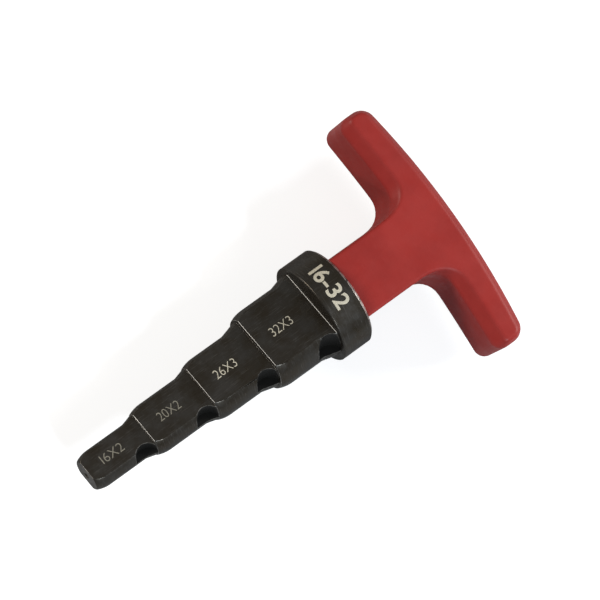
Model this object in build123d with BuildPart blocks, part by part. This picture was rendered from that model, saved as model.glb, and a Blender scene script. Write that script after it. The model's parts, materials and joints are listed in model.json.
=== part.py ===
from build123d import *
from math import radians, tan
import os

# Pipe calibrator: a stepped steel mandrel that rounds and bevels the cut end of a multilayer
# pipe, turned by a T-handle. Millimetres. The tool lies along X with the tip at minus X, the
# cross bar along Y and Z up. The origin is on the axis at the front face of the collar.

# Pipes that the tool calibrates, smallest first: outside diameter and wall.
PIPES = [(16, 2), (20, 2), (26, 3), (32, 3)]

# Stages of the mandrel.
STAGE_LENGTH = 20.75
NOSE_LENGTH = 4.2
NOSE_DROP = 0.9
TIP_CHAMFER = 0.3
BEVEL_ANGLE = 15
BEVEL_PER_WALL = 0.46
BEVEL_BLEND = 3
CENTRE_RADIUS = 1

# Flats and cutter pockets.
FLAT_ANGLE = 18
FLAT_SHARE = 0.64
CUTTER_RADIUS = 3.6
POCKET_DEPTH = 2.8

# Collar.
COLLAR_DIAMETER = 32.6
COLLAR_LENGTH = 10.8
COLLAR_FRONT_CHAMFER = 0.3
COLLAR_REAR_CHAMFER = 0.8

# Stud that joins the mandrel and the handle.
THREAD_DIAMETER = 12
THREAD_LENGTH = 20
THREAD_CLEARANCE = 0.1
TAPPED_RUNOUT = 3
DRILL_POINT_ANGLE = 59
STUD_CHAMFER = 1
HEXAGON_ACROSS_FLATS = 13
HEXAGON_COVER = 9.2
GROOVE_DIAMETER = 10
GROOVE_LENGTH = 5

# T-handle.
HANDLE_LENGTH = 41.2
HANDLE_DEPTH = 24
STEM_WIDTH = 20.4
BAR_LENGTH = 83
BAR_END_WIDTH = 10.8
OUTER_BOW = 3.5
INNER_BOW = 1.7
INNER_CHAMFER = 3.1
OUTER_CHAMFER = 2.5
END_CHAMFER = 1.2
INSIDE_RADIUS = 7.6
INSIDE_FLARE = 2
END_RADIUS_SHARE = 0.37

TIP_X = -len(PIPES) * STAGE_LENGTH
COLLAR_REAR_X = COLLAR_LENGTH
COLLAR_RADIUS = COLLAR_DIAMETER / 2
BAR_OUTER_X = COLLAR_REAR_X + HANDLE_LENGTH


def land_radius(pipe):
    """Radius of the stage that fills a pipe's bore."""
    outside, wall = pipe
    return outside / 2 - wall


def bevel_rise(pipe):
    """Height of the bevel cone over the land."""
    return pipe[1] * BEVEL_PER_WALL


# Half outline of the mandrel, from the lathe centre in the tip to the drill point in the rear.
with BuildPart() as stepped_mandrel:
    with BuildSketch(Plane.XY) as half_outline:
        with BuildLine() as outline:
            centre_depth = CENTRE_RADIUS / tan(radians(30))
            face_foot = (TIP_X, CENTRE_RADIUS)
            Line((TIP_X + centre_depth, 0), face_foot)
            for number, pipe in enumerate(PIPES):
                front_x = TIP_X + number * STAGE_LENGTH
                rear_x = front_x + STAGE_LENGTH
                land = land_radius(pipe)
                rise = bevel_rise(pipe)
                edge = TIP_CHAMFER if number == 0 else 0
                nose_start = (front_x + edge, land - NOSE_DROP)
                Line(face_foot, (front_x, land - NOSE_DROP - edge))
                if edge:
                    Line((front_x, land - NOSE_DROP - edge), nose_start)
                nose_end = (front_x + NOSE_LENGTH, land)
                TangentArc(nose_end, nose_start, tangent=(-1, 0))
                bevel_corner = rear_x - rise / tan(radians(BEVEL_ANGLE))
                reach = BEVEL_BLEND * tan(radians(BEVEL_ANGLE / 2))
                blend_start = (bevel_corner - reach, land)
                Line(nose_end, blend_start)
                cone = PolarLine((bevel_corner, land), reach, BEVEL_ANGLE, mode=Mode.PRIVATE)
                TangentArc(blend_start, cone @ 1, tangent=(1, 0))
                face_foot = (rear_x, land + rise)
                Line(cone @ 1, face_foot)
            bore = THREAD_DIAMETER / 2 + THREAD_CLEARANCE
            bore_end = COLLAR_REAR_X - THREAD_LENGTH - TAPPED_RUNOUT
            Polyline(
                face_foot,
                (0, COLLAR_RADIUS - COLLAR_FRONT_CHAMFER),
                (COLLAR_FRONT_CHAMFER, COLLAR_RADIUS),
                (COLLAR_REAR_X - COLLAR_REAR_CHAMFER, COLLAR_RADIUS),
                (COLLAR_REAR_X, COLLAR_RADIUS - COLLAR_REAR_CHAMFER),
                (COLLAR_REAR_X, bore),
                (bore_end, bore),
                (bore_end - bore / tan(radians(DRILL_POINT_ANGLE)), 0),
                (TIP_X + centre_depth, 0),
            )
        make_face()
    revolve(axis=Axis.X)

    # Two opposite flats on each stage, which end at the face of the next one.
    for number, pipe in enumerate(PIPES):
        front_x = TIP_X + number * STAGE_LENGTH
        top = land_radius(pipe) + bevel_rise(pipe)
        flat = land_radius(pipe) * FLAT_SHARE
        with BuildSketch(Plane.YZ.offset(front_x).rotated((-FLAT_ANGLE, 0, 0))):
            with GridLocations(0, 2 * flat + top, 1, 2):
                Rectangle(2 * top, top)
        extrude(amount=STAGE_LENGTH, mode=Mode.SUBTRACT)

    # Two opposite milled pockets at the end of each stage. The floor of a pocket lies in a plane
    # through the axis, so where it meets the bevel cone it makes the cutting edge.
    for number, pipe in enumerate(PIPES):
        rear_x = TIP_X + (number + 1) * STAGE_LENGTH
        top = land_radius(pipe) + bevel_rise(pipe)
        centre_y = POCKET_DEPTH - land_radius(pipe) - CUTTER_RADIUS
        for turn in (0, 180):
            with BuildSketch(Plane.XY.rotated((turn - FLAT_ANGLE, 0, 0))):
                with Locations((rear_x - CUTTER_RADIUS, centre_y)):
                    Circle(CUTTER_RADIUS)
                    Rectangle(2 * CUTTER_RADIUS, top, align=(Align.CENTER, Align.MAX))
            extrude(amount=top, mode=Mode.SUBTRACT)
stepped_mandrel.part.label = "stepped_mandrel"


# Stud: a threaded front end, and a hexagon with a groove that the handle's plastic grips.
hexagon_end_x = BAR_OUTER_X - HEXAGON_COVER
groove_x = (COLLAR_REAR_X + hexagon_end_x - GROOVE_LENGTH) / 2
groove_end_x = groove_x + GROOVE_LENGTH
with BuildPart() as threaded_stud:
    with BuildSketch(Plane.YZ.offset(COLLAR_REAR_X - THREAD_LENGTH)):
        Circle(THREAD_DIAMETER / 2)
    extrude(amount=THREAD_LENGTH)
    chamfer(threaded_stud.edges().sort_by(Axis.X)[0], STUD_CHAMFER)
    for start, length in ((COLLAR_REAR_X, groove_x - COLLAR_REAR_X),
                          (groove_end_x, hexagon_end_x - groove_end_x)):
        with BuildSketch(Plane.YZ.offset(start)):
            RegularPolygon(HEXAGON_ACROSS_FLATS / 2, 6, major_radius=False)
        extrude(amount=length)
    with BuildSketch(Plane.YZ.offset(groove_x)):
        Circle(GROOVE_DIAMETER / 2)
    extrude(amount=GROOVE_LENGTH)
threaded_stud.part.label = "threaded_stud"


def handle_plan(height, inner=0, outer=0, end=0, flare=0):
    """T-shaped outline at a height, with its bar's edges moved in and its inside corners opened."""
    half_bar = BAR_LENGTH / 2 - end
    outer_x = BAR_OUTER_X - outer
    inner_end_x = BAR_OUTER_X - OUTER_BOW - BAR_END_WIDTH + inner
    inner_x = inner_end_x + INNER_BOW
    end_radius = END_RADIUS_SHARE * (BAR_END_WIDTH - inner - outer)
    with BuildSketch(Plane.XY.offset(height)) as plan:
        with BuildLine():
            outside = ThreePointArc(
                (outer_x - OUTER_BOW, -half_bar), (outer_x, 0), (outer_x - OUTER_BOW, half_bar)
            )
            inside = ThreePointArc((inner_end_x, half_bar), (inner_x, 0), (inner_end_x, -half_bar))
            Line(outside @ 1, inside @ 0)
            Line(inside @ 1, outside @ 0)
        make_face()
        with Locations((COLLAR_REAR_X, 0)):
            Rectangle(inner_x - COLLAR_REAR_X, STEM_WIDTH, align=(Align.MIN, Align.CENTER))
        along_bar = plan.vertices().group_by(Axis.Y)
        fillet(along_bar[0] + along_bar[-1], end_radius)
        beside_stem = plan.vertices().filter_by_position(Axis.Y, -STEM_WIDTH, STEM_WIDTH)
        fillet(beside_stem.group_by(Axis.X)[-1], INSIDE_RADIUS + flare)
    return plan.sketch


# T-handle, moulded round the stud. The bar is bowed outwards, with chamfers along its four long
# edges and at its ends. The inner chamfers sweep round the inside corners and fade out on the stem.
with BuildPart() as t_handle:
    front_z = HANDLE_DEPTH / 2
    chamfer_z = front_z - INNER_CHAMFER
    extrude(handle_plan(0), amount=chamfer_z, both=True)
    for side in (-1, 1):
        front = handle_plan(side * front_z, INNER_CHAMFER, OUTER_CHAMFER, END_CHAMFER, INSIDE_FLARE)
        loft([handle_plan(side * chamfer_z).face(), front.face()], ruled=True)
    add(threaded_stud.part, mode=Mode.SUBTRACT)
t_handle.part.label = "t_handle"


os.makedirs("parts", exist_ok=True)
for piece in (stepped_mandrel, threaded_stud, t_handle):
    export_step(piece.part, f"parts/{piece.part.label}.step")
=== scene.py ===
import json
import math

import bmesh
import bpy
from bpy.props import FloatProperty, FloatVectorProperty, PointerProperty, StringProperty
from bpy.types import Operator, Panel, PropertyGroup
from mathutils import Euler, Matrix, Vector


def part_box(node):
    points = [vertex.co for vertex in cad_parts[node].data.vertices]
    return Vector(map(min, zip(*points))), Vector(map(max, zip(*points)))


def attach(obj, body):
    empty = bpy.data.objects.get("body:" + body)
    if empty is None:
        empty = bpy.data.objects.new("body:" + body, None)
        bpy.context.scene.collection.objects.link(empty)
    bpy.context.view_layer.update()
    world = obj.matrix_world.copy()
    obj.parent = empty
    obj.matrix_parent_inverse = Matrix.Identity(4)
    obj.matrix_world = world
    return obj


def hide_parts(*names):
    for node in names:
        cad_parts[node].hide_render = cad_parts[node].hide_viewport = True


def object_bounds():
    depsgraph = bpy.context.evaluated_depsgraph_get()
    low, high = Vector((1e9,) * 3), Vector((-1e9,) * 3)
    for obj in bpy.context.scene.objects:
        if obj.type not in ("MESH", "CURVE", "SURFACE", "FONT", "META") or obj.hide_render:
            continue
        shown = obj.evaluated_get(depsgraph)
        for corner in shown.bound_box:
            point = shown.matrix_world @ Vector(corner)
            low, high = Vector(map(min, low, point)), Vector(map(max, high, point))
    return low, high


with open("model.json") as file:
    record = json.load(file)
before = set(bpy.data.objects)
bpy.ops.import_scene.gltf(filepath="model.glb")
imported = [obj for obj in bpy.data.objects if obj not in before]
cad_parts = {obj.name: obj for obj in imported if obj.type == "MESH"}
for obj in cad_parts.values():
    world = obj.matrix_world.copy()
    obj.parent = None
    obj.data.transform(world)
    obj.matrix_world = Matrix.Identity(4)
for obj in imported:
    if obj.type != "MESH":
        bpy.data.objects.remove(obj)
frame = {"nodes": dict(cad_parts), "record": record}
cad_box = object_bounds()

bl_info = {
    "name": "Pipe Calibrator",
    "version": (1, 0, 0),
    "blender": (4, 5, 0),
    "location": "3D View > Sidebar > Calibrator",
    "description": "Finishes the pieces of a pipe calibrator and lights it on a pale floor",
    "category": "Object",
}

BODY = "root"
MOUNTS = {mount["name"]: mount for mount in frame["record"]["mounts"]}
STAGES = ["pipe_16", "pipe_20", "pipe_26", "pipe_32"]
COLLAR_REAR_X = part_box("stepped_mandrel")[1].x
COLLAR_RADIUS = MOUNTS["collar"]["dims"]["r_mm"] / 1000
STAGE_LENGTH = MOUNTS["pipe_16"]["dims"]["length_mm"] / 1000

# Places closer than this are the same one. Lengths are in metres throughout.
NEAR = 0.00005
# The loose triangles of a CAD node are joined where their corners are closer than this.
WELD = 0.00002
# Faces of a CAD node that turn by less than this become one.
ONE_FACE = math.radians(0.4)
# Bevels and cuts leave gaps and edges shorter than this, and small holes with no more sides than
# this. Both are closed afterwards.
SLIVER = 0.000004
HOLE_SIDES = 8
# Cosines between directions: parallel above the first, square to each other below the second.
PARALLEL = 0.99
SQUARE = 0.02

# Steps in the bow of the bar, in the arc of a corner of its outline and in a rounded edge.
BOW_STEPS = 16
CORNER_STEPS = 8
EDGE_STEPS = 4
WEAR_STEPS = 2

# Angles by which the surface turns at an edge. The handle's edges that turn by more are rounded.
HANDLE_EDGE = math.radians(14)
# On the mandrel, the edges along the flats turn by more than the first of these, and the sharp ones,
# which are worn bright, by more than the second; across the flats they also carry a painted
# highlight. A flat's corner with the collar turns inwards and is given a painted highlight.
BLUNT_EDGE = math.radians(30)
SHARP_EDGE = math.radians(62)
INWARD_CORNER = (math.radians(-120), math.radians(-60))
# The smooth shading breaks where an edge turns by more than this.
HANDLE_BREAK = math.radians(35)
MANDREL_BREAK = math.radians(30)

# The flats stand turned about the tool's axis, as a share of each land's radius away from it.
FLAT_ANGLE = math.radians(18)
FLAT_SHARE = 0.64
FLAT_NORMAL = Vector((0, math.sin(FLAT_ANGLE), math.cos(FLAT_ANGLE)))

# Round cutter that mills a pocket at the end of each stage.
CUTTER_RADIUS = 0.0036
POCKET_DEPTH = 0.0028

# Band at the collar's rim that holds its chamfer.
RIM_DEPTH = 0.001

# Places of the mandrel's finishes in its list. An edge worn with the first keeps its faces' finish.
# The pocket finish is a painted shade, the steel's colour darkened to near black.
# The step-line finish is bare steel made bright as a painted highlight, also in the collar's inward corner.
SAME_FINISH, WORN_LINE_AND_HIGHLIGHT, WORN_EDGE, SHADED_POCKET, REAR_CHAMFER = -1, 1, 2, 3, 4

# Relief of the surfaces: grain of the plastic, grooves on the steel, cutter marks in the pockets.
GRAIN_DEPTH = 0.00004
GROOVE_DEPTH = 0.000012
CUTTER_MARK_DEPTH = 0.00001

# Outside diameter and wall of each stage's pipe, as marked on its flat. The first two are fainter.
SIZE_TEXTS = ("16X2", "20X2", "26X3", "32X3")
FAINT_SHARE = 0.4
# How much the strokes of the figures are fattened, as a share of the font's size.
SIZE_BOLDNESS = -0.012
RANGE_BOLDNESS = 0.02
# The font leaves a wide gap behind a 1, which this closes.
NARROW_ONE = -9
# Steps in a curve of a figure, and how far apart the figures are cut to bend round the collar.
CURVE_STEPS = 6
RANGE_STEP = 0.0004

# Sensor width in millimetres, how far the camera sees, and where it stands beside the origin, right
# and up in its picture.
SENSOR_WIDTH = 36
SIGHT = 20
CAMERA_PLACE = (-0.003062, 0.004462)
# Floor: its size, its gap under the tool, and its glow, which only the camera sees. The world is
# white to the camera and dimmer to all other rays.
FLOOR_SIZE = 12
FLOOR_GAP = 0.0001
FLOOR_GLOW = 0.74
WORLD_TO_CAMERA = 1
WORLD_TO_OTHERS = 0.26

# Soft boxes: name, place in the picture (right, up, towards the camera), size, watts and colour.
SOFT_BOXES = (
    ("key", (-0.8, 0.45, 0.7), 0.5, 10.0, (1.0, 0.94, 0.86)),
    ("fill", (0.42, -0.58, 0.75), 0.17, 7.0, (0.80, 0.90, 1.0)),
    ("rim", (0.80, 0.22, 0.14), 0.30, 7.0, (1.0, 1.0, 1.0)),
)


class HandleLook(PropertyGroup):
    colour: FloatVectorProperty(
        name="Colour", description="Colour of the moulded plastic",
        default=(0.262, 0.022, 0.018), min=0, max=1, subtype="COLOR",
    )
    deep_colour: FloatVectorProperty(
        name="Deep Colour", description="Colour where the plastic is a shade darker",
        default=(0.212, 0.016, 0.013), min=0, max=1, subtype="COLOR",
    )
    grain: FloatProperty(
        name="Grain", description="Width of one grain of the moulded surface",
        default=0.0004, unit="LENGTH", precision=5,
    )
    stem_width: FloatProperty(
        name="Stem Width", description="Width of the square stem",
        default=0.0204, unit="LENGTH", precision=4,
    )
    end_width: FloatProperty(
        name="End Width", description="Width of the bar at its ends",
        default=0.0108, unit="LENGTH", precision=4,
    )
    outer_bow: FloatProperty(
        name="Outer Bow", description="How far the bar's outer side bulges between its ends",
        default=0.0035, unit="LENGTH", precision=4,
    )
    inner_bow: FloatProperty(
        name="Inner Bow", description="How far the bar's inner side curves towards the middle",
        default=0.0017, unit="LENGTH", precision=4,
    )
    end_radius: FloatProperty(
        name="End Radius", description="Radius of the bar's corners, seen from the front",
        default=0.004, unit="LENGTH", precision=4,
    )
    front_end_radius: FloatProperty(
        name="Front End Radius", description="Radius of the front face's corners at the bar's ends",
        default=0.0019, unit="LENGTH", precision=4,
    )
    inside_radius: FloatProperty(
        name="Inside Radius", description="Radius between the stem and the arms",
        default=0.0076, unit="LENGTH", precision=4,
    )
    chamfer_depth: FloatProperty(
        name="Chamfer Depth", description="How far the chamfers reach down from the front",
        default=0.0031, unit="LENGTH", precision=4,
    )
    inner_chamfer: FloatProperty(
        name="Inner Chamfer", description="Width of the chamfer along the arms' inner sides",
        default=0.0031, unit="LENGTH", precision=4,
    )
    outer_chamfer: FloatProperty(
        name="Outer Chamfer", description="Width of the chamfer along the bar's outer side",
        default=0.0025, unit="LENGTH", precision=4,
    )
    end_chamfer: FloatProperty(
        name="End Chamfer", description="Width of the chamfer at the bar's ends",
        default=0.0012, unit="LENGTH", precision=4,
    )
    edge_softness: FloatProperty(
        name="Edge Softness", description="How far the rounding of an edge reaches into its faces",
        default=0.0009, unit="LENGTH", precision=4,
    )


class MandrelLook(PropertyGroup):
    colour: FloatVectorProperty(
        name="Colour", description="Colour of the burnished black steel",
        default=(0.060, 0.056, 0.050), min=0, max=1, subtype="COLOR",
    )
    # Also the colour of the painted highlight on the step lines and at the collar's corner.
    worn_and_highlight_colour: FloatVectorProperty(
        name="Worn Colour", description="Colour of the steel where the black has gone",
        default=(0.62, 0.60, 0.56), min=0, max=1, subtype="COLOR",
    )
    groove: FloatProperty(
        name="Tool Groove", description="Distance between the marks of the lathe tool",
        default=0.00018, unit="LENGTH", precision=5,
    )
    edge_wear: FloatProperty(
        name="Edge Wear", description="How far the worn edges reach into their faces",
        default=0.00012, unit="LENGTH", precision=5,
    )


class MarkLook(PropertyGroup):
    colour: FloatVectorProperty(
        name="Colour", description="Colour of the etched marks",
        default=(0.50, 0.46, 0.36), min=0, max=1, subtype="COLOR",
    )
    size_height: FloatProperty(
        name="Size Mark Height", description="Height of the figures on the flats",
        default=0.0029, unit="LENGTH", precision=4,
    )
    size_length: FloatProperty(
        name="Size Mark Length", description="Length of the figures on the flats",
        default=0.0076, unit="LENGTH", precision=4,
    )
    size_place: FloatProperty(
        name="Size Mark Place", description="From the front of a stage to the middle of its mark",
        default=0.0091, unit="LENGTH", precision=4,
    )
    range_text: StringProperty(
        name="Range", description="Smallest and largest pipe, marked on the collar",
        default="16-32",
    )
    range_height: FloatProperty(
        name="Range Height", description="Height of the figures on the collar",
        default=0.0052, unit="LENGTH", precision=4,
    )
    range_length: FloatProperty(
        name="Range Length", description="Length of the figures round the collar",
        default=0.0150, unit="LENGTH", precision=4,
    )
    range_angle: FloatProperty(
        name="Range Angle", description="Turn of the collar's mark about the axis",
        default=math.radians(14), subtype="ANGLE",
    )
    thickness: FloatProperty(
        name="Thickness", description="How far the etched marks stand proud",
        default=0.00001, unit="LENGTH", precision=5,
    )


class StageLook(PropertyGroup):
    floor_colour: FloatVectorProperty(
        name="Floor Colour", description="Colour of the floor, which glows paler to the camera",
        default=(0.36, 0.36, 0.36), min=0, max=1, subtype="COLOR",
    )
    tilt: FloatProperty(
        name="Tilt", description="How far the tip leans towards the camera",
        default=math.radians(16.89), subtype="ANGLE",
    )
    turn: FloatProperty(
        name="Turn", description="Rise of the tool's axis across the picture",
        default=math.radians(35.60), subtype="ANGLE",
    )
    roll: FloatProperty(
        name="Roll", description="Turn of the tool about its own axis",
        default=math.radians(0.68), subtype="ANGLE",
    )
    distance: FloatProperty(
        name="Distance", description="From the origin to the camera along its view",
        default=1.00932, unit="LENGTH", precision=5,
    )
    lens: FloatProperty(
        name="Lens", description="Focal length of the camera in millimetres",
        default=205.03,
    )


def land_radius(stage):
    """Radius of the land that fills a pipe's bore."""
    return MOUNTS[stage]["dims"]["r_mm"] / 1000


def flat_height(stage):
    """Distance from the axis to the flats of a stage."""
    return FLAT_SHARE * land_radius(stage)


def rear_x(stage):
    """Where a stage ends at the next one or at the collar."""
    return MOUNTS[stage]["pos_m"][0]


def deselect_all():
    """Leaves object mode with nothing selected."""
    if bpy.context.object and bpy.context.object.mode != "OBJECT":
        bpy.ops.object.mode_set(mode="OBJECT")
    bpy.ops.object.select_all(action="DESELECT")


def pick(piece):
    """Selects one object alone and makes it active."""
    deselect_all()
    piece.select_set(True)
    bpy.context.view_layer.objects.active = piece


def fill(made, sockets):
    """Sets or links input sockets of a node."""
    for name, value in sockets.items():
        if isinstance(value, bpy.types.NodeSocket):
            made.id_data.links.new(value, made.inputs[name])
        else:
            made.inputs[name].default_value = value


def node(tree, kind, place, sockets=None, **settings):
    """Adds a node with its settings and its input sockets."""
    made = tree.nodes.new(kind)
    made.location = place
    for name, value in settings.items():
        setattr(made, name, value)
    fill(made, sockets or {})
    return made


def new_material(name):
    """An empty node material with its shader and output joined."""
    material = bpy.data.materials.new(name)
    material.use_nodes = True
    tree = material.node_tree
    tree.nodes.clear()
    shader = node(tree, "ShaderNodeBsdfPrincipled", (900, 0))
    node(tree, "ShaderNodeOutputMaterial", (1200, 0), {"Surface": shader.outputs["BSDF"]})
    return material, tree, shader


def noise(tree, place, vector, scale, detail, roughness):
    """Noise on given coordinates; scale is in features per metre."""
    made = node(tree, "ShaderNodeTexNoise", place,
                {"Vector": vector, "Scale": scale, "Detail": detail, "Roughness": roughness})
    return made.outputs["Fac"]


def tool_marks(tree, place, where, squeeze, look, detail=3, roughness=0.7):
    """Fine marks of a tool, drawn out along the directions in which the coordinates are squeezed."""
    squeezed = node(tree, "ShaderNodeMapping", place, {"Vector": where, "Scale": squeeze})
    return noise(tree, (place[0] + 200, place[1]), squeezed.outputs[0], 1 / look.groove, detail, roughness)


def stretch(tree, place, value, low, high, start=0.0, end=1.0):
    """Maps the stretch from low to high of a value to a stretch from start to end."""
    made = node(tree, "ShaderNodeMapRange", place, {
        "Value": value, "From Min": low, "From Max": high, "To Min": start, "To Max": end,
    })
    return made.outputs["Result"]


def mix_colour(tree, place, factor, first, second):
    """Blends two colours, each a colour or a socket."""
    first, second = (value if isinstance(value, bpy.types.NodeSocket) else (*value, 1)
                     for value in (first, second))
    return node(tree, "ShaderNodeMix", place, {0: factor, 6: first, 7: second}, data_type="RGBA").outputs[2]


def maths(tree, place, operation, first, second=0.0):
    """One arithmetic step on values or sockets."""
    return node(tree, "ShaderNodeMath", place, {0: first, 1: second}, operation=operation).outputs[0]


def dimmed(colour, share):
    """A colour at a share of its brightness."""
    return tuple(share * value for value in colour)


def edge_mask(tree, place, radius, low, high):
    """White along edges, and the rounded normal there.

    The rounded normal turns away from the face's own at an edge, so the mask rises from black to
    white while the cosine between the two falls from high to low.
    """
    rounded = node(tree, "ShaderNodeBevel", place, {"Radius": radius}, samples=8)
    face = node(tree, "ShaderNodeNewGeometry", (place[0], place[1] - 160))
    across = node(tree, "ShaderNodeVectorMath", (place[0] + 180, place[1]),
                  {0: rounded.outputs[0], 1: face.outputs["Normal"]}, operation="DOT_PRODUCT")
    mask = stretch(tree, (place[0] + 360, place[1]), across.outputs["Value"], high, low)
    return mask, rounded.outputs[0]


def red_plastic(look):
    """Moulded red plastic with a fine spark-eroded grain and pale scuffs, most of them along its edges."""
    material, tree, shader = new_material("red_plastic_finish")
    where = node(tree, "ShaderNodeTexCoord", (-900, 0)).outputs["Object"]
    cloud = noise(tree, (-900, 500), where, scale=55, detail=5, roughness=0.6)
    body = mix_colour(tree, (-200, 500), stretch(tree, (-650, 500), cloud, low=0.35, high=0.65),
                      look.deep_colour, look.colour)
    edges, rounded = edge_mask(tree, (-900, -500), look.edge_softness, low=0.90, high=0.995)
    slanted = node(tree, "ShaderNodeMapping", (-1100, 200), {
        "Vector": where, "Rotation": (0, 0, 0.7), "Scale": (1, 0.12, 0.5),
    })
    scratches = noise(tree, (-900, 200), slanted.outputs[0], scale=2600, detail=3, roughness=0.7)
    scuffs = stretch(tree, (-650, 200), scratches, low=0.60, high=0.72)
    handled = stretch(tree, (-400, 0), edges, low=0, high=1, start=0.10, end=0.55)
    scuffed = maths(tree, (-200, 200), "MULTIPLY", scuffs, handled)
    pale = tuple(min(1, 1.15 * value + 0.045) for value in look.colour)
    rub = noise(tree, (-900, -160), where, scale=160, detail=4, roughness=0.6)
    grain = noise(tree, (-900, 0), where, scale=1 / look.grain, detail=2, roughness=0.6)
    bump = node(tree, "ShaderNodeBump", (500, -300), {
        "Strength": 0.6, "Distance": GRAIN_DEPTH, "Height": grain, "Normal": rounded,
    })
    fill(shader, {
        "Base Color": mix_colour(tree, (100, 400), scuffed, body, pale),
        "Roughness": stretch(tree, (-200, -100), rub, low=0.3, high=0.7, start=0.38, end=0.54),
        "Specular IOR Level": 0.2,
        "Normal": bump.outputs[0],
    })
    return material


def black_steel(look):
    """Burnished black steel: turned lands, milled flats, and bright lines where the edges are worn."""
    material, tree, shader = new_material("black_steel_finish")
    coordinates = node(tree, "ShaderNodeTexCoord", (-1300, 0))
    where = coordinates.outputs["Object"]
    facing = node(tree, "ShaderNodeVectorMath", (-1100, -700),
                  {0: coordinates.outputs["Normal"], 1: FLAT_NORMAL}, operation="DOT_PRODUCT")
    facing_either_way = maths(tree, (-900, -700), "ABSOLUTE", facing.outputs["Value"])
    flat = stretch(tree, (-700, -700), facing_either_way, low=0.995, high=0.999)
    # The lathe's grooves run round the axis, and the marks on the milled flats run along it.
    grooves = tool_marks(tree, (-1100, -100), where, (1, 0.04, 0.04), look)
    strokes = tool_marks(tree, (-1100, -400), where, (0.03, 1, 1), look)
    height = node(tree, "ShaderNodeMix", (-500, -300), {0: flat, 2: grooves, 3: strokes},
                  data_type="FLOAT").outputs[0]
    cloud = noise(tree, (-900, 100), where, scale=150, detail=6, roughness=0.65)
    brown = tuple(value * share for value, share in zip(look.colour, (0.86, 0.76, 0.62)))
    body = mix_colour(tree, (-200, 100), stretch(tree, (-450, 100), cloud, low=0.35, high=0.62),
                      brown, look.colour)
    # Thin rubbed streaks follow the tool marks.
    streaks = stretch(tree, (-450, -100), height, low=0.58, high=0.74, start=0, end=0.16)
    streaked = mix_colour(tree, (0, 200), streaks, body, look.worn_and_highlight_colour)
    # The black has gone from the edges in patches.
    edges, rounded = edge_mask(tree, (-700, 500), look.edge_wear, low=0.78, high=0.97)
    patches = noise(tree, (-900, 300), where, scale=900, detail=4, roughness=0.7)
    gone = stretch(tree, (-450, 300), patches, low=0.45, high=0.7, start=0.1, end=0.8)
    wear = maths(tree, (-100, 500), "MULTIPLY", edges, gone)
    bump = node(tree, "ShaderNodeBump", (500, -300), {
        "Strength": 0.5, "Distance": GROOVE_DEPTH, "Height": height, "Normal": rounded,
    })
    fill(shader, {
        "Base Color": mix_colour(tree, (200, 300), wear, streaked, look.worn_and_highlight_colour),
        "Roughness": stretch(tree, (100, -100), cloud, low=0.3, high=0.7, start=0.24, end=0.42),
        "Metallic": 0.85,
        "Specular Tint": (0.7, 0.7, 0.7, 1),
        "Normal": bump.outputs[0],
    })
    return material


def rubbed_steel_and_highlight(name, look, low, high, brightness, metal=0.55):
    """Steel with the black rubbed off in patches; the higher low and high are, the less is off. With low
    and high small it is bright nearly all over, which the step lines use as a painted highlight.
    """
    material, tree, shader = new_material(name)
    where = node(tree, "ShaderNodeTexCoord", (-900, 0)).outputs["Object"]
    patches = noise(tree, (-700, 0), where, scale=700, detail=4, roughness=0.7)
    rubbed = stretch(tree, (-450, 0), patches, low, high)
    bright = dimmed(look.worn_and_highlight_colour, brightness)
    fill(shader, {
        "Base Color": mix_colour(tree, (-100, 100), rubbed, look.colour, bright),
        "Roughness": stretch(tree, (-100, -100), patches, low=0.3, high=0.7, start=0.5, end=0.38),
        "Metallic": metal,
    })
    return material


def pocket_painted_shade(look):
    """The milled pockets, painted near black as the shade of their depth, and marked by the cutter."""
    material, tree, shader = new_material("milled_pocket_painted_shade")
    where = node(tree, "ShaderNodeTexCoord", (-900, 0)).outputs["Object"]
    cloud = noise(tree, (-700, 0), where, scale=400, detail=3, roughness=0.6)
    # Painted shade: the steel's colour darkened to near black for the deep pocket.
    dark = dimmed(look.colour, 0.12)
    marks = tool_marks(tree, (-700, -300), where, (1, 0.1, 0.1), look, detail=2, roughness=0.6)
    bump = node(tree, "ShaderNodeBump", (500, -300),
                {"Strength": 0.3, "Distance": CUTTER_MARK_DEPTH, "Height": marks})
    fill(shader, {
        "Base Color": mix_colour(tree, (-100, 100), cloud, dark, dimmed(dark, 1.8)),
        "Roughness": 0.55,
        "Specular IOR Level": 0.2,
        "Normal": bump.outputs[0],
    })
    return material


def zinc_steel():
    """Plain plated steel of the stud inside the handle."""
    material, tree, shader = new_material("plated_steel_finish")
    where = node(tree, "ShaderNodeTexCoord", (-600, 0)).outputs["Object"]
    cloud = noise(tree, (-400, 0), where, scale=300, detail=4, roughness=0.6)
    fill(shader, {
        "Base Color": mix_colour(tree, (0, 100), cloud, (0.42, 0.42, 0.44), (0.58, 0.58, 0.57)),
        "Roughness": stretch(tree, (0, -150), cloud, low=0.3, high=0.7, start=0.28, end=0.42),
        "Metallic": 1,
    })
    return material


def etched_mark(name, colour):
    """Pale matt figures burnt into the black with a laser, a little uneven."""
    material, tree, shader = new_material(name)
    where = node(tree, "ShaderNodeTexCoord", (-600, 0)).outputs["Object"]
    speckle = noise(tree, (-400, 0), where, scale=6000, detail=3, roughness=0.7)
    uneven = stretch(tree, (-200, 0), speckle, low=0.35, high=0.6)
    fill(shader, {
        "Base Color": mix_colour(tree, (0, 100), uneven, dimmed(colour, 0.5), colour),
        "Roughness": 0.75,
    })
    return material


def paint(piece, *materials):
    """Gives a piece its finishes, the first one all over unless faces ask for another."""
    piece.data.materials.clear()
    for material in materials:
        piece.data.materials.append(material)


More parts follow.
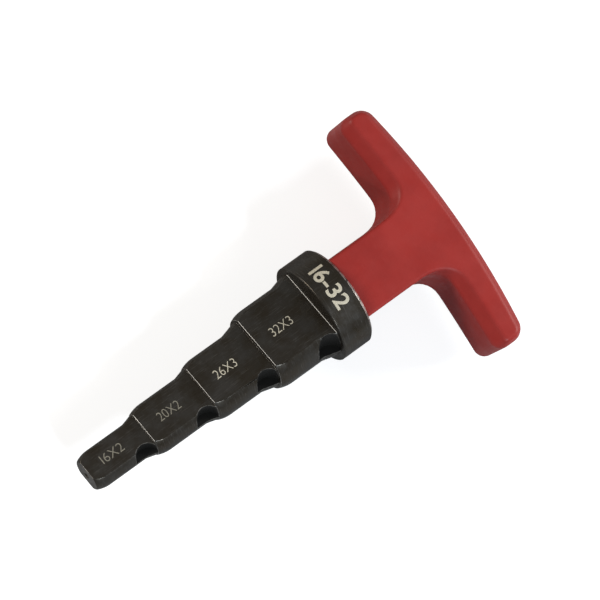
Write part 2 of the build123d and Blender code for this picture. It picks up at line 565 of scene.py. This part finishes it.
def finished_copy(source, name):
    """A merged copy of a CAD node with its flat faces whole, left in edit mode with nothing selected."""
    piece = bpy.data.objects.new(name, source.data.copy())
    piece.data.name = name
    bpy.context.scene.collection.objects.link(piece)
    pick(piece)
    bpy.ops.mesh.customdata_custom_splitnormals_clear()
    bpy.ops.object.mode_set(mode="EDIT")
    bpy.ops.mesh.select_all(action="SELECT")
    bpy.ops.mesh.remove_doubles(threshold=WELD)
    bpy.ops.mesh.dissolve_limited(angle_limit=ONE_FACE)
    bpy.ops.mesh.select_all(action="DESELECT")
    return piece


def select_corners(piece, bluntest, sharpest, where):
    """Selects the edges that turn outwards by between two angles, inwards where these are below 0."""
    shape = bmesh.from_edit_mesh(piece.data)
    bpy.ops.mesh.select_mode(type="EDGE")
    for edge in shape.edges:
        middle = (edge.verts[0].co + edge.verts[1].co) / 2
        edge.select_set(bluntest < edge.calc_face_angle_signed(0) <= sharpest and where(middle))
    shape.select_flush_mode()
    bmesh.update_edit_mesh(piece.data)


def select_vertices(piece, where):
    """Selects the vertices that lie where a test says, and the edges between them."""
    bpy.ops.mesh.select_mode(type="VERT")
    shape = bmesh.from_edit_mesh(piece.data)
    for vertex in shape.verts:
        vertex.select_set(where(vertex.co))
    shape.select_flush_mode()
    bmesh.update_edit_mesh(piece.data)


def merge(piece):
    """Closes the tiny gaps and slivers that bevels and cuts leave, with normals outwards."""
    pick(piece)
    bpy.ops.object.mode_set(mode="EDIT")
    bpy.ops.mesh.select_all(action="SELECT")
    bpy.ops.mesh.remove_doubles(threshold=SLIVER)
    bpy.ops.mesh.dissolve_degenerate(threshold=SLIVER)
    bpy.ops.mesh.delete_loose()
    bpy.ops.mesh.select_all(action="SELECT")
    bpy.ops.mesh.fill_holes(sides=HOLE_SIDES)
    bpy.ops.mesh.select_all(action="SELECT")
    bpy.ops.mesh.normals_make_consistent(inside=False)
    bpy.ops.object.mode_set(mode="OBJECT")


def smooth(piece, angle):
    """Smooth shading that keeps large faces flat and breaks at edges sharper than an angle."""
    pick(piece)
    bpy.ops.object.shade_smooth_by_angle(angle=angle)
    weighted = piece.modifiers.new("weighted", "WEIGHTED_NORMAL")
    weighted.keep_sharp = True
    bpy.ops.object.modifier_apply(modifier=weighted.name)


def figures(text, length, height, boldness, name):
    """Flat mesh figures of a given size in the XY plane, centred on the origin."""
    deselect_all()
    bpy.ops.object.text_add()
    piece = bpy.context.object
    piece.name = name
    piece.data.name = name
    piece.data.body = text
    piece.data.align_x = "CENTER"
    piece.data.resolution_u = CURVE_STEPS
    piece.data.offset = boldness
    piece.data.body_format[0].kerning = NARROW_ONE if text[0] == "1" else 0
    bpy.ops.object.convert(target="MESH")
    low = Vector(map(min, zip(*(v.co for v in piece.data.vertices))))
    high = Vector(map(max, zip(*(v.co for v in piece.data.vertices))))
    scale = Matrix.Diagonal((length / (high.x - low.x), height / (high.y - low.y), 1, 1))
    piece.data.transform(scale @ Matrix.Translation(-(low + high) / 2))
    return piece


class CALIBRATOR_OT_handle(Operator):
    """Finish the moulded T-handle"""
    bl_idname = "calibrator.handle"
    bl_label = "T-Handle"

    def execute(self, context):
        look = context.scene.calibrator_handle
        piece = self.outline(look)
        self.front_half(piece, look)
        self.round_edges(piece, look)
        self.bore(piece)
        merge(piece)
        smooth(piece, HANDLE_BREAK)
        paint(piece, red_plastic(look))
        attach(piece, BODY)
        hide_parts("t_handle")
        return {"FINISHED"}

    def outline(self, look):
        """The T seen from the front, as one flat face half way through the handle."""
        low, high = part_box("t_handle")
        half_stem = look.stem_width / 2
        inner_x = high.x - look.outer_bow - look.end_width + look.inner_bow
        deselect_all()
        bpy.ops.mesh.primitive_grid_add(x_subdivisions=1, y_subdivisions=BOW_STEPS, size=1)
        piece = bpy.context.object
        piece.name = "moulded_handle"
        piece.data.name = piece.name
        for vertex in piece.data.vertices:
            reach = 2 * vertex.co.y
            side_x = high.x - look.outer_bow * reach ** 2
            if vertex.co.x < 0:
                side_x = inner_x - look.inner_bow * reach ** 2
            vertex.co = (side_x, reach * high.y, 0)
        bpy.ops.object.mode_set(mode="EDIT")
        for side in (-half_stem, half_stem):
            bpy.ops.mesh.select_all(action="SELECT")
            bpy.ops.mesh.bisect(plane_co=(0, side, 0), plane_no=(0, 1, 0))
        inner_side = inner_x + NEAR
        # The inside radius needs a free stretch of the inner side next to the stem.
        free = half_stem + 1.2 * look.inside_radius
        select_vertices(piece, lambda at: at.x < inner_side and half_stem + NEAR < abs(at.y) < free)
        bpy.ops.mesh.dissolve_verts()
        select_vertices(piece, lambda at: at.x < inner_side and abs(at.y) < half_stem + NEAR)
        bpy.ops.mesh.extrude_edges_move(TRANSFORM_OT_translate={"value": (low.x - inner_x, 0, 0)})
        # The stem's end is straight, although the side that it grows from is bowed.
        shape = bmesh.from_edit_mesh(piece.data)
        for vertex in shape.verts:
            if vertex.select:
                vertex.co.x = low.x
        bpy.ops.mesh.select_all(action="SELECT")
        bpy.ops.mesh.dissolve_faces()
        select_vertices(piece, lambda at: at.x < low.x + NEAR and abs(at.y) < half_stem - NEAR)
        bpy.ops.mesh.dissolve_verts()
        for radius, is_corner in (
            (look.end_radius, lambda at: abs(at.y) > high.y - NEAR),
            (look.inside_radius, lambda at: abs(abs(at.y) - half_stem) < NEAR and at.x > low.x + NEAR),
        ):
            select_vertices(piece, is_corner)
            bpy.ops.mesh.bevel(affect="VERTICES", offset=radius, segments=CORNER_STEPS,
                               clamp_overlap=False)
        return piece

    def front_half(self, piece, look):
        """Walls, chamfers and front face, then the same behind as a mirror image."""
        bpy.ops.mesh.select_all(action="SELECT")
        bpy.ops.mesh.extrude_region_move(
            TRANSFORM_OT_translate={"value": (0, 0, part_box("t_handle")[1].z - look.chamfer_depth)})
        bpy.ops.mesh.extrude_region_move(TRANSFORM_OT_translate={"value": (0, 0, look.chamfer_depth)})
        shape = bmesh.from_edit_mesh(piece.data)
        front = next(face for face in shape.faces if face.select)
        moves = []
        for loop in front.loops:
            along = (loop.link_loop_next.vert.co - loop.link_loop_prev.vert.co).normalized()
            moves.append((loop.vert, self.inset(loop.vert.co, along.cross(front.normal), look)))
        for vertex, move in moves:
            vertex.co -= move
        bmesh.update_edit_mesh(piece.data)
        bpy.ops.mesh.select_mode(type="FACE")
        bpy.ops.mesh.select_all(action="DESELECT")
        for face in shape.faces:
            face.select_set(abs(face.calc_center_median().z) < NEAR)
        bmesh.update_edit_mesh(piece.data)
        bpy.ops.mesh.delete(type="FACE")
        bpy.ops.object.mode_set(mode="OBJECT")
        mirror = piece.modifiers.new("back", "MIRROR")
        mirror.use_axis = (False, False, True)
        mirror.merge_threshold = NEAR
        bpy.ops.object.modifier_apply(modifier=mirror.name)

    def inset(self, place, outward, look):
        """How far the chamfers take a point of the outline in at the front."""
        low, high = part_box("t_handle")
        if abs(place.y) > high.y - look.end_radius - NEAR:
            # A corner of the bar: its arc shrinks to the front radius and keeps its ends on the sides.
            shrink = look.end_radius - look.front_end_radius
            outer = place.x > high.x - look.outer_bow - look.end_width / 2
            side, width = (1, look.outer_chamfer) if outer else (-1, look.inner_chamfer)
            end = math.copysign(1, place.y)
            return Vector((
                side * (width - shrink) + shrink * outward.x,
                end * (look.end_chamfer - shrink) + shrink * outward.y,
                0,
            ))
        width = look.inner_chamfer if outward.x < 0 else look.outer_chamfer
        return Vector((width * outward.x if place.x > low.x + NEAR else 0, 0, 0))

    def round_edges(self, piece, look):
        """Softens every edge of the moulding but the one round the stem's end on the collar."""
        bpy.ops.object.mode_set(mode="EDIT")
        bpy.ops.mesh.select_all(action="SELECT")
        bpy.ops.mesh.normals_make_consistent(inside=False)
        bpy.ops.mesh.select_all(action="DESELECT")
        select_corners(piece, HANDLE_EDGE, math.pi, lambda at: at.x > COLLAR_REAR_X + NEAR)
        bpy.ops.mesh.bevel(offset=look.edge_softness, segments=EDGE_STEPS, clamp_overlap=False)
        bpy.ops.object.mode_set(mode="OBJECT")

    def bore(self, piece):
        """Cuts the room of the stud out of the handle."""
        stud = finished_copy(frame["nodes"]["threaded_stud"], "stud_room")
        bpy.ops.object.mode_set(mode="OBJECT")
        pick(piece)
        room = piece.modifiers.new("bore", "BOOLEAN")
        room.operation = "DIFFERENCE"
        room.solver = "EXACT"
        room.object = stud
        bpy.ops.object.modifier_apply(modifier=room.name)
        bpy.data.objects.remove(stud)


class CALIBRATOR_OT_stud(Operator):
    """Finish the plated stud that joins the mandrel and the handle"""
    bl_idname = "calibrator.stud"
    bl_label = "Threaded Stud"

    def execute(self, context):
        paint(frame["nodes"]["threaded_stud"], zinc_steel())
        return {"FINISHED"}


class CALIBRATOR_OT_mandrel(Operator):
    """Finish the stepped steel mandrel"""
    bl_idname = "calibrator.mandrel"
    bl_label = "Stepped Mandrel"

    def execute(self, context):
        look = context.scene.calibrator_mandrel
        piece = finished_copy(frame["nodes"]["stepped_mandrel"], "black_mandrel")
        # The step-line finish is bare steel made bright as a painted highlight.
        paint(piece, black_steel(look), rubbed_steel_and_highlight("worn_line_and_highlight_finish", look, 0.15, 0.35, 1),
              rubbed_steel_and_highlight("worn_edge_finish", look, 0.44, 0.68, 0.45), pocket_painted_shade(look),
              rubbed_steel_and_highlight("turned_chamfer_finish", look, 0.36, 0.56, 0.75, 1))
        self.colour_faces(piece)
        # The blunt edges along the flats, the corner that the mill left at the collar and the step lines
        # across the flats, both given bare steel brightened as a painted highlight, then every other sharp
        # edge.
        for bluntest, sharpest, where, finish in (
            (BLUNT_EDGE, SHARP_EDGE, lambda at: True, SAME_FINISH),
            (*INWARD_CORNER, self.on_collar_corner, WORN_LINE_AND_HIGHLIGHT),
            (SHARP_EDGE, math.pi, self.on_step, WORN_LINE_AND_HIGHLIGHT),
            (SHARP_EDGE, math.pi, lambda at: True, WORN_EDGE),
        ):
            select_corners(piece, bluntest, sharpest, where)
            bpy.ops.mesh.bevel(offset=look.edge_wear, segments=WEAR_STEPS, clamp_overlap=False,
                               material=finish)
        merge(piece)
        smooth(piece, MANDREL_BREAK)
        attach(piece, BODY)
        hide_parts("stepped_mandrel")
        return {"FINISHED"}

    def ends_flat(self, place, stage, x):
        """Whether a point lies where a stage's flat meets the cross plane at x."""
        on_flat = abs(abs(place.dot(FLAT_NORMAL)) - flat_height(stage)) < NEAR
        return on_flat and abs(place.x - x) < NEAR

    def on_step(self, place):
        """Whether a point lies where a flat ends at the front of its stage, behind another one."""
        return any(self.ends_flat(place, stage, rear_x(stage) - STAGE_LENGTH) for stage in STAGES[1:])

    def on_collar_corner(self, place):
        """Whether a point lies where the last flat ends at the collar's front face."""
        return self.ends_flat(place, STAGES[-1], rear_x(STAGES[-1]))

    def in_pocket(self, place, normal):
        """Whether a face belongs to a milled pocket, as its floor or its round wall."""
        facing = abs(normal.dot(FLAT_NORMAL))
        if facing > PARALLEL:
            return abs(place.dot(FLAT_NORMAL)) < NEAR
        if facing > SQUARE:
            return False
        sideways = abs(place.dot(FLAT_NORMAL.cross(Vector((1, 0, 0)))))
        for stage in STAGES:
            from_cutter = Vector((
                place.x - rear_x(stage) + CUTTER_RADIUS,
                sideways - land_radius(stage) - CUTTER_RADIUS + POCKET_DEPTH,
            ))
            if abs(from_cutter.length - CUTTER_RADIUS) < 2 * NEAR:
                return True
        return False

    def colour_faces(self, piece):
        """Pockets painted dark as shade, and the bare turned chamfer at the rear of the collar."""
        shape = bmesh.from_edit_mesh(piece.data)
        for face in shape.faces:
            place, normal = face.calc_center_median(), face.normal
            at_rim = math.hypot(place.y, place.z) > COLLAR_RADIUS - RIM_DEPTH
            slants_back = 0.5 < normal.x < 0.9
            if self.in_pocket(place, normal):
                face.material_index = SHADED_POCKET
            elif at_rim and slants_back and place.x > COLLAR_REAR_X / 2:
                face.material_index = REAR_CHAMFER
        bmesh.update_edit_mesh(piece.data)


class CALIBRATOR_OT_marks(Operator):
    """Etch the pipe sizes on the flats and the range on the collar"""
    bl_idname = "calibrator.marks"
    bl_label = "Size Marks"

    def execute(self, context):
        look = context.scene.calibrator_marks
        faint = etched_mark("faint_mark_finish", dimmed(look.colour, FAINT_SHARE))
        clear = etched_mark("etched_mark_finish", look.colour)
        self.size_marks(look, (faint, faint, clear, clear))
        self.range_mark(look, clear)
        return {"FINISHED"}

    def size_marks(self, look, finishes):
        """Each stage's pipe size, read along the axis, on the flat that faces the camera."""
        along = Vector((1, 0, 0))
        across = FLAT_NORMAL.cross(along)
        for stage, text, finish in zip(STAGES, SIZE_TEXTS, finishes):
            piece = figures(text, look.size_length, look.size_height, SIZE_BOLDNESS,
                            "size_mark_" + stage[-2:])
            centre = FLAT_NORMAL * (flat_height(stage) + look.thickness)
            centre.x = rear_x(stage) - STAGE_LENGTH + look.size_place
            turn = Matrix((along, across, FLAT_NORMAL)).transposed().to_4x4()
            piece.data.transform(Matrix.Translation(centre) @ turn)
            paint(piece, finish)
            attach(piece, BODY)

    def range_mark(self, look, finish):
        """The smallest and the largest pipe, wrapped round the collar with the tops to the handle."""
        piece = figures(look.range_text, look.range_length, look.range_height, RANGE_BOLDNESS,
                        "range_mark")
        bpy.ops.object.mode_set(mode="EDIT")
        steps = int(look.range_length / RANGE_STEP)
        for number in range(1, steps):
            bpy.ops.mesh.select_all(action="SELECT")
            cut_x = (number / steps - 0.5) * look.range_length
            bpy.ops.mesh.bisect(plane_co=(cut_x, 0, 0), plane_no=(1, 0, 0))
        bpy.ops.object.mode_set(mode="OBJECT")
        radius = COLLAR_RADIUS + look.thickness
        for vertex in piece.data.vertices:
            angle = look.range_angle - vertex.co.x / COLLAR_RADIUS
            vertex.co = (
                COLLAR_REAR_X / 2 + vertex.co.y, radius * math.sin(angle), radius * math.cos(angle)
            )
        paint(piece, finish)
        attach(piece, BODY)


class CALIBRATOR_OT_stage(Operator):
    """Lay a floor under the tool, light it and aim the camera"""
    bl_idname = "calibrator.stage"
    bl_label = "Stage"

    def execute(self, context):
        look = context.scene.calibrator_stage
        turned = Euler((-look.roll, -look.tilt, -look.turn), "ZYX").to_matrix()
        self.camera(context, look, turned)
        self.floor(look)
        self.world(context)
        self.lights(turned)
        context.scene.view_settings.view_transform = "Standard"
        return {"FINISHED"}

    def camera(self, context, look, turned):
        """Camera above the tool, at the photograph's viewing angle."""
        deselect_all()
        bpy.ops.object.camera_add()
        camera = context.object
        camera.data.sensor_width = SENSOR_WIDTH
        camera.data.lens = look.lens
        camera.data.clip_end = SIGHT
        camera.matrix_world = turned.to_4x4() @ Matrix.Translation((*CAMERA_PLACE, look.distance))
        context.scene.camera = camera

    def floor(self, look):
        """Grey floor just under the collar; it shows white to the camera and keeps a faint shadow."""
        deselect_all()
        bpy.ops.mesh.primitive_plane_add(size=FLOOR_SIZE, location=(0, 0, cad_box[0].z - FLOOR_GAP))
        floor = bpy.context.object
        floor.name = "floor"
        material, tree, shader = new_material("pale_floor")
        rays = node(tree, "ShaderNodeLightPath", (300, -400))
        fill(shader, {
            "Base Color": (*look.floor_colour, 1),
            "Roughness": 0.9,
            "Emission Color": (1, 1, 1, 1),
            "Emission Strength":
                maths(tree, (600, -300), "MULTIPLY", rays.outputs["Is Camera Ray"], FLOOR_GLOW),
        })
        paint(floor, material)

    def world(self, context):
        """White to the camera, a soft grey studio for everything else."""
        world = bpy.data.worlds.new("studio")
        context.scene.world = world
        world.use_nodes = True
        tree = world.node_tree
        tree.nodes.clear()
        rays = node(tree, "ShaderNodeLightPath", (-600, 0))
        strength = stretch(tree, (-300, 0), rays.outputs["Is Camera Ray"], low=0, high=1,
                           start=WORLD_TO_OTHERS, end=WORLD_TO_CAMERA)
        back = node(tree, "ShaderNodeBackground", (0, 0), {"Color": (1, 1, 1, 1), "Strength": strength})
        node(tree, "ShaderNodeOutputWorld", (200, 0), {"Surface": back.outputs[0]})

    def lights(self, turned):
        """Soft boxes placed by the picture, each facing the origin."""
        for name, place, size, power, colour in SOFT_BOXES:
            deselect_all()
            bpy.ops.object.light_add(type="AREA", location=turned @ Vector(place))
            lamp = bpy.context.object
            lamp.name = name
            lamp.data.shape = "DISK"
            lamp.data.size = size
            lamp.data.energy = power
            lamp.data.color = colour
            lamp.rotation_euler = (turned @ Vector(place)).to_track_quat("Z", "Y").to_euler()


class VIEW3D_PT_calibrator(Panel):
    """Sizes, colours and pieces of the pipe calibrator"""
    bl_label = "Pipe Calibrator"
    bl_space_type = "VIEW_3D"
    bl_region_type = "UI"
    bl_category = "Calibrator"

    def draw(self, context):
        for attribute, kind, operator in SETTINGS:
            box = self.layout.box()
            for name in kind.__annotations__:
                box.prop(getattr(context.scene, attribute), name)
            box.operator(operator)
        for operator in PLAIN_PIECES:
            self.layout.operator(operator)


SETTINGS = (
    ("calibrator_stage", StageLook, CALIBRATOR_OT_stage.bl_idname),
    ("calibrator_mandrel", MandrelLook, CALIBRATOR_OT_mandrel.bl_idname),
    ("calibrator_handle", HandleLook, CALIBRATOR_OT_handle.bl_idname),
    ("calibrator_marks", MarkLook, CALIBRATOR_OT_marks.bl_idname),
)
PLAIN_PIECES = (CALIBRATOR_OT_stud.bl_idname,)
CLASSES = (
    StageLook, MandrelLook, HandleLook, MarkLook,
    CALIBRATOR_OT_stage, CALIBRATOR_OT_mandrel, CALIBRATOR_OT_handle, CALIBRATOR_OT_stud,
    CALIBRATOR_OT_marks,
    VIEW3D_PT_calibrator,
)


def register():
    for kind in CLASSES:
        bpy.utils.register_class(kind)
    for attribute, kind, _ in SETTINGS:
        setattr(bpy.types.Scene, attribute, PointerProperty(type=kind))


def unregister():
    for attribute, _, _ in SETTINGS:
        delattr(bpy.types.Scene, attribute)
    for kind in reversed(CLASSES):
        bpy.utils.unregister_class(kind)


def main():
    """Makes the stage and every piece."""
    register()
    bpy.ops.calibrator.stage()
    bpy.ops.calibrator.mandrel()
    bpy.ops.calibrator.handle()
    bpy.ops.calibrator.stud()
    bpy.ops.calibrator.marks()


if __name__ == "__main__":
    main()
